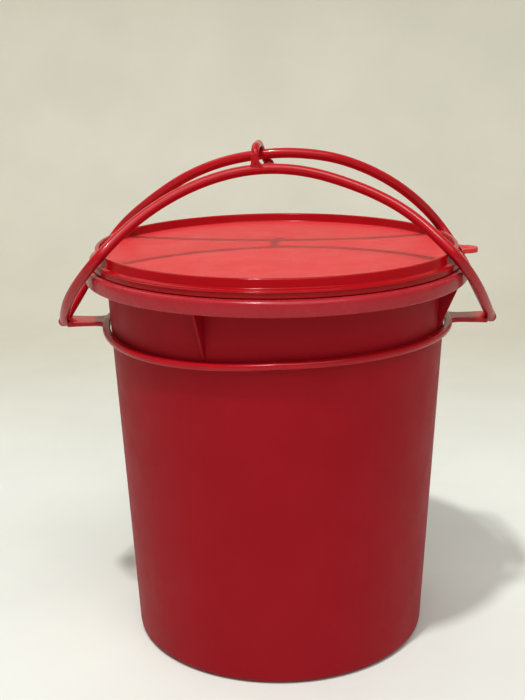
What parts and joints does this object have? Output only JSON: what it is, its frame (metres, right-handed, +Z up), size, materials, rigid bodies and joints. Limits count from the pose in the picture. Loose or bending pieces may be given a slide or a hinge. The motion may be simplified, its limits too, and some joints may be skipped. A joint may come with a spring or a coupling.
{
  "type": "lidded pail",
  "caption": "Round tapered plastic pail with a press-on lid, a loose handle ring under its skirt and two carrying bails that hook together over the lid.",
  "frame": {"origin": "centre of the base, on the surface that the pail stands on", "axes": "+Z up along the pail's axis, +X towards the lid's pull tab, +Y to the rear bail"},
  "size_m": [0.2932, 0.25, 0.3353],
  "materials": {
    "bucket_plastic": "satin moulded polypropylene",
    "lid_plastic": "soft satin panel, glossy rim",
    "handle_plastic": "glossy moulded polypropylene"
  },
  "bodies": {
    "bucket": {"bucket": "bucket_plastic"},
    "lid": {"lid": "lid_plastic"},
    "ring": {"handle_ring": "handle_plastic"},
    "front_roots": {"front_root_left": "handle_plastic", "front_root_right": "handle_plastic"},
    "front_arch": {"front_bail": "handle_plastic"},
    "rear_roots": {"rear_root_left": "handle_plastic", "rear_root_right": "handle_plastic"},
    "rear_arch": {"rear_bail": "handle_plastic"}
  },
  "joints": [
    {"name": "ring_turn", "type": "hinge", "parent": "bucket", "child": "ring", "pos_m": [0, 0, 0.2152], "axis": [0, 0, 1], "range_deg": [-8, 8]},
    {"name": "front_swing", "type": "hinge", "parent": "ring", "child": "front_roots", "pos_m": [0, 0, 0.2152], "axis": [1, 0, 0], "range_deg": [0, 43.34]},
    {"name": "front_fold", "type": "hinge", "parent": "front_roots", "child": "front_arch", "pos_m": [0, -0.05595, 0.268], "axis": [1, 0, 0], "range_deg": [0, 90.39]},
    {"name": "rear_swing", "type": "hinge", "parent": "ring", "child": "rear_roots", "pos_m": [0, 0, 0.2152], "axis": [-1, 0, 0], "range_deg": [0, 44.31]},
    {"name": "rear_fold", "type": "hinge", "parent": "rear_roots", "child": "rear_arch", "pos_m": [0, 0.05411, 0.268], "axis": [-1, 0, 0], "range_deg": [0, 82.8]},
    {"name": "lid_lift", "type": "slide", "parent": "bucket", "child": "lid", "axis": [0, 0, 1], "range_m": [0, 0.0081]}
  ],
  "couplings": [
    {"joint": "front_fold", "follows": "front_swing", "ratio": 2.0853},
    {"joint": "rear_swing", "follows": "front_swing", "ratio": 1.0221},
    {"joint": "rear_fold", "follows": "front_swing", "ratio": 1.9103},
    {"joint": "lid_lift", "follows": "front_swing", "m_per_rad": 0.010576}
  ]
}
